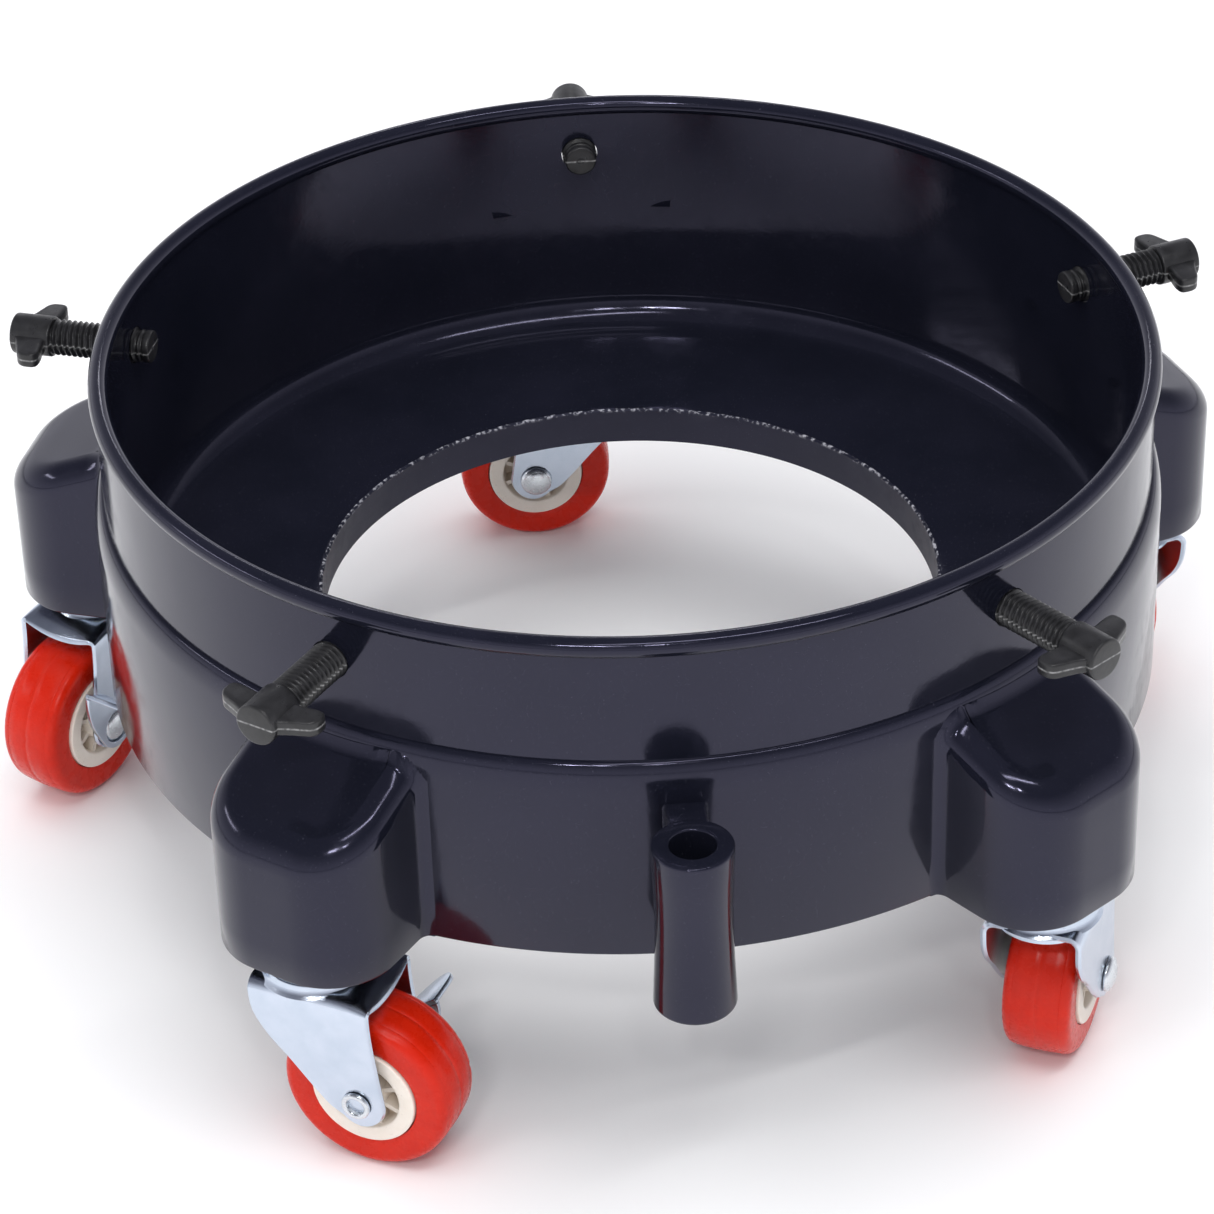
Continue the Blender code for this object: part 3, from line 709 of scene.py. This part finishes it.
def build_wheel():
    """Tyre and hub about their own axle, which is z."""
    crown = TYRE_HALF - 0.0032
    half = [(TYRE_BORE_R + 0.0001, TYRE_HALF - 0.0003), (TYRE_BORE_R + 0.0006, TYRE_HALF - 0.0001)]
    half += [(TYRE_BORE_R + 0.0022, TYRE_HALF)]
    half += arc((WHEEL_R - 0.0036, crown), 0.0032, 90, 8, 12)
    half += [(WHEEL_R - 0.00036, crown + 0.0002), (WHEEL_R - 0.00046, crown)]
    half += [(WHEEL_R - 0.00030, crown - 0.0002)]
    half += [(WHEEL_R - 0.00012, crown * 0.6), (WHEEL_R - 0.00002, crown * 0.25), (WHEEL_R, 0.00035)]
    half += [(WHEEL_R - 0.00016, 0.0001)]
    bm = bmesh.new()
    columns = lathe(bm, half + [(r, -z) for r, z in half[::-1]], 128)
    for row in columns:
        for vert in row:
            radius = math.hypot(vert.co.x, vert.co.y)
            if radius > TYRE_BORE_R + 0.004:
                dent = noise.noise((vert.co.x * 420, vert.co.y * 420, vert.co.z * 420))
                sink = max(dent - 0.42, 0.0) * 0.0009
                vert.co.x *= 1 - sink / radius
                vert.co.y *= 1 - sink / radius
    tyre = make_mesh("tyre", bm, 40)
    bm = bmesh.new()
    hub = [
        (0.0034, BOSS_HALF, 0.0003),
        (0.0062, BOSS_HALF, 0.0006),
        (0.0067, 0.0048, 0.0008),
        (0.0108, 0.0045, 0.0010),
        (0.0114, HUB_HALF, 0.0007),
        (TYRE_BORE_R - FIT_GAP, HUB_HALF, 0.0006),
    ]
    outline = rounded(hub + [(r, -z, ease) for r, z, ease in hub[::-1]], 5)
    lathe(bm, outline, 96)
    for number in range(8):
        for side in (-1, 1):
            turn = Matrix.Rotation(math.tau * (number + 0.5) / 8, 4, "Z")
            high = sorted((side * 0.0040, side * 0.0094))
            widths = (0.00075, 0.0010) if side < 0 else (0.0010, 0.00075)
            rows = []
            for z, half in zip(high, widths):
                corners = ((0.0060, -half, z), (0.0115, -half, z), (0.0115, half, z), (0.0060, half, z))
                rows.append([turn @ Vector(corner) for corner in corners])
            made = grid(bm, rows, close_columns=True)
            bm.faces.new(made[0])
            bm.faces.new(made[-1][::-1])
    return tyre, make_mesh("wheel_hub", bm, 40)


def build_rivet():
    """Axle rivet along z: domed head at +z, rolled hollow end at -z."""
    face = LEG_HALF + FIT_GAP
    bm = bmesh.new()
    head = [(0.0, face + 0.0026)]
    for step in range(1, 10):
        turn = math.radians(10 * step)
        head.append((0.0055 * math.sin(turn), face + 0.0003 + 0.0023 * math.cos(turn)))
    head += [(0.0054, face), (0.0030, face)]
    tail = [(0.0030, -face)] + arc((0.0036, -face - 0.0004), 0.0009, 20, -150, 12)
    tail += [(0.0024, -face + 0.0020), (0.0, -face + 0.0022)]
    lathe(bm, head + tail, 64, closed=False)
    return make_mesh("rivet", bm, 50)


def build_pedal():
    """Brake pedal about the axle: flat plate outside the leg and a leaf-shaped toe tab with a raised oval."""
    face = LEG_HALF + FIT_GAP
    thick = 0.0016
    corner = Vector((0.0125, 0.0178))
    slope = math.radians(36)
    along = Vector((-math.cos(slope), -math.sin(slope)))
    end = corner + along * 0.0165
    outline = [(corner.x, corner.y, 0.0006), (0.0130, 0.0140, 0.002)]
    outline += [(0.0124, 0.0080, 0.004), (0.0100, 0.0020, 0.004)]
    outline += [(x, y, 0) for x, y in arc((0.0, 0.0), 0.0078, -25, -190, 24)]
    outline += [(end.x, end.y, 0.001)]
    hole = arc((0.0, 0.0), 0.0058, 0, 351, 39)
    upright = Matrix(((1, 0, 0, 0), (0, 0, 1, face + thick / 2), (0, 1, 0, 0), (0, 0, 0, 1)))
    bm = bmesh.new()
    add_plate(bm, [rounded(outline), hole], thick, 0.0003, upright)
    leaf = [(0.0, -0.0004, 0), (0.0, 0.0108, 0.003), (0.0012, 0.0137, 0.0015), (0.0034, 0.0148, 0.0020)]
    leaf += [(0.0062, 0.0136, 0.002), (0.0090, 0.0100, 0.003), (0.0116, 0.0050, 0.003), (0.0138, -0.0004, 0)]
    lay = Matrix(((along.x, 0, -along.y, 0), (0, 1, 0, 0), (along.y, 0, along.x, 0), (0, 0, 0, 1)))
    tab = Matrix.Translation((corner.x, face + 0.0004, corner.y)) @ lay
    add_plate(bm, [rounded(leaf)], thick, 0.0003, tab @ Matrix.Translation((0, 0, -thick / 2)))
    rows = []
    for step in range(40):
        turn = math.tau * step / 40
        middle = Vector((0.0048 + 0.0023 * math.cos(turn), 0.0072 + 0.0034 * math.sin(turn), 0.0))
        out = Vector((math.cos(turn), math.sin(turn), 0.0))
        ridge = [middle + out * 0.00045 * math.cos(a) + Vector((0, 0, 0.00032 * math.sin(a)))
                 for a in (math.tau * k / 10 for k in range(10))]
        rows.append([tab @ point for point in ridge])
    grid(bm, rows, close_rows=True, close_columns=True)
    rows = []
    for step in range(25):
        t = step / 24
        size = 0.00095 * min(1.0, 4 * min(t, 1 - t) + 0.35)
        spot = Vector((0.0165 * t, 0.0007, -thick / 2))
        rows.append([tab @ (spot + Vector((0, size * math.cos(a), size * math.sin(a))))
                     for a in (math.tau * k / 16 for k in range(16))])
    made = grid(bm, rows, close_columns=True)
    bm.faces.new(made[0])
    bm.faces.new(made[-1][::-1])
    return make_mesh("pedal", bm, 40)


def build_casters(finishes):
    fork, (race, balls, stem) = build_fork(), build_bearing()
    tyre, hub = build_wheel()
    rivet, pedal = build_rivet(), build_pedal()
    roll = Matrix.Rotation(math.radians(-90), 4, "X")
    for name in NAMES:
        caster = casters[name]
        axle = caster @ Matrix.Translation((TRAIL, 0.0, WHEEL_R))
        swivel, wheel = f"{name}_swivel", f"{name}_wheel"
        piece(f"{name}_fork_shell", fork, caster, swivel, f"{name}_fork", finishes["zinc"])
        piece(f"{name}_race_ring", race, caster, "ring", f"{name}_upper_race", finishes["zinc"])
        race_node = f"{name}_ball_race"
        piece(f"{name}_greased_balls", balls, caster, swivel, race_node, finishes["grease"])
        piece(f"{name}_stem_pin", stem, caster, "ring", f"{name}_stem", finishes["steel"])
        piece(f"{name}_wheel_tyre", tyre, axle @ roll, wheel, f"{name}_tyre", finishes["red"])
        piece(f"{name}_wheel_hub", hub, axle @ roll, wheel, f"{name}_hub", finishes["white"])
        low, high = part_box(f"{name}_axle_rivet")
        across = (caster.to_3x3() @ Vector((0, 1, 0))).xy
        lean = (flat((low + high) / 2) - wheels[name]).dot(across)
        side = roll if lean > 0 else Matrix.Rotation(math.radians(90), 4, "X")
        rivet_node = f"{name}_axle_rivet"
        piece(f"{name}_rivet", rivet, axle @ side, swivel, rivet_node, finishes["steel"])
        pedal_node = f"{name}_brake_pedal"
        if pedal_node in nodes:
            body = f"{name}_pedal"
            piece(f"{name}_pedal_plate", pedal, axle, body, pedal_node, finishes["zinc"])
        nut = nodes[f"{name}_stem_nut"]
        nut.data.materials.clear()
        nut.data.materials.append(finishes["steel"])


# ---------------------------------------------------------------- finishes


class Graph:
    """A material's nodes, with short calls to add them."""

    def __init__(self, name):
        self.material = bpy.data.materials.new(name)
        self.material.use_nodes = True
        self.nodes = self.material.node_tree.nodes
        self.links = self.material.node_tree.links
        self.shader = self.nodes["Principled BSDF"]
        self.where = self.add("ShaderNodeTexCoord").outputs["Object"]

    def add(self, kind, inputs=None, **settings):
        node = self.nodes.new(kind)
        for key, value in settings.items():
            setattr(node, key, value)
        for key, value in (inputs or {}).items():
            if isinstance(value, bpy.types.NodeSocket):
                self.links.new(value, node.inputs[key])
            else:
                node.inputs[key].default_value = value
        return node

    def noise(self, scale, detail=4.0, rough=0.55, vector=None):
        inputs = {"Vector": vector or self.where, "Scale": scale, "Detail": detail, "Roughness": rough}
        return self.add("ShaderNodeTexNoise", inputs).outputs["Fac"]

    def remap(self, value, low, high, to_low, to_high):
        inputs = {"Value": value, "From Min": low, "From Max": high, "To Min": to_low, "To Max": to_high}
        return self.add("ShaderNodeMapRange", inputs).outputs["Result"]

    def math(self, operation, *values):
        node = self.add("ShaderNodeMath", operation=operation)
        for index, value in enumerate(values):
            if isinstance(value, bpy.types.NodeSocket):
                self.links.new(value, node.inputs[index])
            else:
                node.inputs[index].default_value = value
        return node.outputs[0]

    def mix(self, factor, first, second):
        node = self.add("ShaderNodeMix", data_type="RGBA")
        for socket, value in ((node.inputs[0], factor), (node.inputs[6], first), (node.inputs[7], second)):
            if isinstance(value, bpy.types.NodeSocket):
                self.links.new(value, socket)
            else:
                socket.default_value = (*value, 1.0) if isinstance(value, tuple) else value
        return node.outputs[2]

    def bump(self, height, distance, strength=1.0, over=None):
        inputs = {"Height": height, "Distance": distance, "Strength": strength}
        if over:
            inputs["Normal"] = over
        return self.add("ShaderNodeBump", inputs).outputs["Normal"]

    def use(self, **sockets):
        names = {"colour": "Base Color", "roughness": "Roughness", "normal": "Normal"}
        for key, value in sockets.items():
            self.links.new(value, self.shader.inputs[names[key]])
        return self.material


def ring_finish():
    graph = Graph("glossy_navy_plastic")
    graph.shader.inputs["IOR"].default_value = 1.52
    graph.shader.inputs["Specular IOR Level"].default_value = 0.45
    graph.shader.inputs["Specular Tint"].default_value = (0.72, 0.70, 1.0, 1.0)
    cloud = graph.noise(28.0, 3.0)
    cloud = graph.remap(cloud, 0.35, 0.7, 0.0, 1.0)
    colour = graph.mix(cloud, (0.0062, 0.0070, 0.0125), (0.0090, 0.0096, 0.0170))
    split = graph.add("ShaderNodeSeparateXYZ", {"Vector": graph.where})
    x, y, z = split.outputs[0], split.outputs[1], split.outputs[2]
    radius = graph.math("SQRT", graph.math("ADD", graph.math("MULTIPLY", x, x), graph.math("MULTIPLY", y, y)))
    near_hole = graph.math("LESS_THAN", radius, HOLE_R + 0.0009)
    near_top = graph.remap(z, FLOOR_Z - 0.0012, FLOOR_Z - 0.0002, 0.0, 1.0)
    fringe = graph.math("MULTIPLY", near_top, graph.remap(graph.noise(700.0, 3.0), 0.50, 0.64, 0.0, 0.8))
    fringe = graph.math("MULTIPLY", near_hole, fringe)
    colour = graph.mix(fringe, colour, (0.42, 0.42, 0.46))
    dust = graph.remap(graph.noise(2400.0, 2.0, 0.4), 0.70, 0.76, 0.0, 0.25)
    colour = graph.mix(dust, colour, (0.16, 0.16, 0.20))
    smear = graph.noise(11.0, 5.0)
    haze = graph.noise(160.0, 4.0)
    smear = graph.remap(smear, 0.3, 0.7, 0.055, 0.13)
    haze = graph.remap(haze, 0.45, 0.8, 0.0, 0.10)
    roughness = graph.math("ADD", smear, haze)
    roughness = graph.math("ADD", roughness, graph.math("MULTIPLY", near_hole, 0.35))
    flow = graph.bump(graph.noise(14.0, 2.0), 0.0012, 0.35)
    normal = graph.bump(graph.noise(700.0, 3.0), 0.00002, 0.5, flow)
    return graph.use(colour=colour, roughness=roughness, normal=normal)


def screw_finish():
    graph = Graph("satin_black_plastic")
    split = graph.add("ShaderNodeSeparateXYZ", {"Vector": graph.where})
    seam = graph.remap(graph.math("ABSOLUTE", split.outputs[0]), 0.00012, 0.00040, 1.0, 0.0)
    worn = graph.remap(graph.noise(900.0, 3.0), 0.35, 0.62, 0.15, 0.9)
    cloud = graph.remap(graph.noise(240.0, 4.0), 0.3, 0.75, 0.0, 1.0)
    colour = graph.mix(cloud, (0.008, 0.008, 0.0085), (0.022, 0.022, 0.024))
    colour = graph.mix(graph.math("MULTIPLY", seam, worn), colour, (0.30, 0.30, 0.30))
    roughness = graph.remap(graph.noise(420.0, 4.0), 0.3, 0.7, 0.26, 0.44)
    normal = graph.bump(graph.noise(1500.0, 3.0), 0.00005, 0.5)
    return graph.use(colour=colour, roughness=roughness, normal=normal)


def zinc_finish(name, bright, dull, low, high):
    graph = Graph(name)
    graph.shader.inputs["Metallic"].default_value = 1.0
    cloud = graph.remap(graph.noise(170.0, 4.0), 0.32, 0.72, 0.0, 1.0)
    colour = graph.mix(cloud, bright, dull)
    speck = graph.remap(graph.noise(1700.0, 2.0), 0.70, 0.78, 0.0, 0.3)
    colour = graph.mix(speck, colour, (0.34, 0.36, 0.40))
    stretch = graph.add("ShaderNodeMapping", {"Vector": graph.where, "Scale": (1.0, 1.0, 7.0)})
    brushed = graph.noise(420.0, 4.0, 0.6, stretch.outputs["Vector"])
    roughness = graph.remap(brushed, 0.3, 0.7, low, high)
    wave = graph.bump(graph.noise(60.0, 2.0), 0.00008, 0.25)
    normal = graph.bump(brushed, 0.00001, 0.4, wave)
    return graph.use(colour=colour, roughness=roughness, normal=normal)


def tyre_finish():
    graph = Graph("red_polyurethane")
    graph.shader.inputs["IOR"].default_value = 1.5
    graph.shader.inputs["Specular IOR Level"].default_value = 0.25
    split = graph.add("ShaderNodeSeparateXYZ", {"Vector": graph.where})
    seam = graph.remap(graph.math("ABSOLUTE", split.outputs[2]), 0.00015, 0.0006, 0.25, 0.0)
    cloud = graph.remap(graph.noise(130.0, 4.0), 0.3, 0.75, 0.0, 1.0)
    colour = graph.mix(cloud, (0.62, 0.017, 0.003), (0.56, 0.013, 0.002))
    colour = graph.mix(seam, colour, (0.70, 0.04, 0.02))
    scuff = graph.remap(graph.noise(900.0, 4.0, 0.6), 0.70, 0.80, 0.0, 0.25)
    colour = graph.mix(scuff, colour, (0.34, 0.012, 0.008))
    roughness = graph.remap(graph.noise(300.0, 4.0), 0.3, 0.7, 0.22, 0.34)
    wave = graph.bump(graph.noise(120.0, 3.0), 0.00006, 0.25)
    normal = graph.bump(graph.noise(1400.0, 3.0), 0.00002, 0.4, wave)
    return graph.use(colour=colour, roughness=roughness, normal=normal)


def hub_finish():
    graph = Graph("cream_plastic")
    graph.shader.inputs["IOR"].default_value = 1.5
    split = graph.add("ShaderNodeSeparateXYZ", {"Vector": graph.where})
    # Painted shade: the cream darkens to brown towards the hub's recessed middle, deeper than the ribs.
    depth = graph.remap(graph.math("ABSOLUTE", split.outputs[2]), 0.0042, 0.0105, 1.0, 0.0)
    cloud = graph.remap(graph.noise(260.0, 4.0), 0.35, 0.75, 0.0, 0.6)
    colour = graph.mix(cloud, (0.86, 0.79, 0.70), (0.78, 0.70, 0.60))
    colour = graph.mix(graph.math("MULTIPLY", depth, 0.55), colour, (0.62, 0.50, 0.38))
    grime = graph.remap(graph.noise(1100.0, 3.0), 0.66, 0.74, 0.0, 0.35)
    colour = graph.mix(grime, colour, (0.30, 0.24, 0.18))
    roughness = graph.remap(graph.noise(500.0, 4.0), 0.3, 0.7, 0.32, 0.52)
    normal = graph.bump(graph.noise(1300.0, 3.0), 0.00005, 0.5)
    return graph.use(colour=colour, roughness=roughness, normal=normal)


def grease_finish():
    graph = Graph("yellow_grease")
    cloud = graph.remap(graph.noise(700.0, 4.0), 0.35, 0.7, 0.0, 1.0)
    colour = graph.mix(cloud, (0.62, 0.50, 0.06), (0.34, 0.27, 0.04))
    roughness = graph.remap(graph.noise(900.0, 3.0), 0.3, 0.7, 0.14, 0.32)
    normal = graph.bump(graph.noise(900.0, 3.0), 0.0002, 0.6)
    return graph.use(colour=colour, roughness=roughness, normal=normal)


def floor_finish():
    graph = Graph("pale_floor")
    cloud = graph.remap(graph.noise(3.0, 2.0), 0.3, 0.7, 0.0, 1.0)
    colour = graph.mix(cloud, (0.94, 0.94, 0.94), (0.95, 0.95, 0.95))
    roughness = graph.remap(graph.noise(5.0, 2.0), 0.3, 0.7, 0.55, 0.62)
    return graph.use(colour=colour, roughness=roughness)


# ---------------------------------------------------------------- stage


def add_floor():
    bm = bmesh.new()
    bmesh.ops.create_grid(bm, x_segments=8, y_segments=8, size=9.0)
    mesh = bpy.data.meshes.new("floor")
    bm.to_mesh(mesh)
    bm.free()
    mesh.materials.append(floor_finish())
    floor = bpy.data.objects.new("floor", mesh)
    bpy.context.scene.collection.objects.link(floor)


LAMP_AIM = Vector((0.0, 0.0, 0.1))


def add_softbox(name, spot, size, power, shows=True):
    """A rectangular lamp aimed at the dolly; shows says whether glossy surfaces mirror it."""
    lamp = bpy.data.lights.new(name, "AREA")
    lamp.shape = "RECTANGLE"
    lamp.size, lamp.size_y = size
    lamp.energy = power
    obj = bpy.data.objects.new(name, lamp)
    bpy.context.scene.collection.objects.link(obj)
    obj.location = spot
    obj.rotation_mode = "QUATERNION"
    obj.rotation_quaternion = (LAMP_AIM - Vector(spot)).to_track_quat("-Z", "Y")
    obj.visible_glossy = shows


def add_world():
    """A white studio that darkens towards its ceiling."""
    world = bpy.data.worlds.new("studio")
    world.use_nodes = True
    tree = world.node_tree
    back = tree.nodes["Background"]
    where = tree.nodes.new("ShaderNodeTexCoord")
    split = tree.nodes.new("ShaderNodeSeparateXYZ")
    ramp = tree.nodes.new("ShaderNodeValToRGB")
    tree.links.new(where.outputs["Generated"], split.inputs[0])
    tree.links.new(split.outputs[2], ramp.inputs[0])
    tree.links.new(ramp.outputs[0], back.inputs[0])
    ramp.color_ramp.elements[0].position = 0.10
    ramp.color_ramp.elements[0].color = (0.94, 0.94, 1.0, 1.0)
    ramp.color_ramp.elements[1].position = 0.62
    ramp.color_ramp.elements[1].color = (0.16, 0.16, 0.19, 1.0)
    back.inputs[1].default_value = 1.0
    bpy.context.scene.world = world


def add_light():
    bpy.context.scene.view_settings.view_transform = "Standard"
    add_world()
    add_softbox("ceiling", (0.0, 0.0, 2.4), (3.2, 3.2), 74, False)
    add_softbox("left_fill", (-1.7, -1.2, 1.3), (0.8, 1.0), 6, False)
    add_softbox("pane_a", (0.20, 1.8, 1.16), (0.09, 0.10), 0.30)
    add_softbox("pane_b", (0.02, 1.8, 1.14), (0.07, 0.10), 0.18)
    add_softbox("lamp_a", (-0.62, -1.9, 1.9), (0.13, 0.09), 4.0)
    add_softbox("lamp_b", (-0.42, -1.9, 1.9), (0.11, 0.09), 3.6)
    add_softbox("lamp_c", (0.02, -1.9, 1.9), (0.10, 0.08), 3.2)
    add_softbox("top_bar", (0.35, -0.9, 2.2), (1.4, 0.12), 8.0)
    add_softbox("side_bar", (-1.9, 0.2, 1.1), (0.9, 0.10), 2.2)


CAMERA_LENS = 128.3
CAMERA_FROM_RIM = Vector((-0.0944, -1.1242, 0.6708))
CAMERA_PITCH, CAMERA_YAW, CAMERA_ROLL = 0.596, -0.0066, -0.030
CAMERA_TURN = math.radians(-4.8)


def add_camera():
    """Stands in front, a little left, and looks down on the ring."""
    data = bpy.data.cameras.new("camera")
    data.lens = CAMERA_LENS
    data.sensor_width = 36.0
    data.clip_start, data.clip_end = 0.05, 60.0
    camera = bpy.data.objects.new("camera", data)
    bpy.context.scene.collection.objects.link(camera)
    pitch, yaw, roll = CAMERA_PITCH, CAMERA_YAW, CAMERA_ROLL
    ahead = Vector((math.sin(yaw) * math.cos(pitch), math.cos(yaw) * math.cos(pitch), -math.sin(pitch)))
    right = ahead.cross(Vector((0, 0, 1))).normalized()
    up = right.cross(ahead)
    across = right * math.cos(roll) + up * math.sin(roll)
    over = up * math.cos(roll) - right * math.sin(roll)
    turned = Matrix((across, over, -ahead)).transposed().to_4x4()
    turned = Matrix.Rotation(CAMERA_TURN, 4, "Z") @ turned
    spot = Vector((ring_centre.x, ring_centre.y, RIM_Z)) + CAMERA_FROM_RIM
    camera.matrix_world = Matrix.Translation(spot) @ turned
    bpy.context.scene.camera = camera


finishes = {
    "zinc": zinc_finish("zinc_plate", (0.60, 0.66, 0.76), (0.53, 0.60, 0.70), 0.18, 0.27),
    "steel": zinc_finish("plated_steel", (0.72, 0.75, 0.78), (0.60, 0.63, 0.66), 0.20, 0.34),
    "red": tyre_finish(),
    "white": hub_finish(),
    "grease": grease_finish(),
}
build_ring(ring_finish())
build_screws(screw_finish())
build_casters(finishes)
add_floor()
add_light()
add_camera()
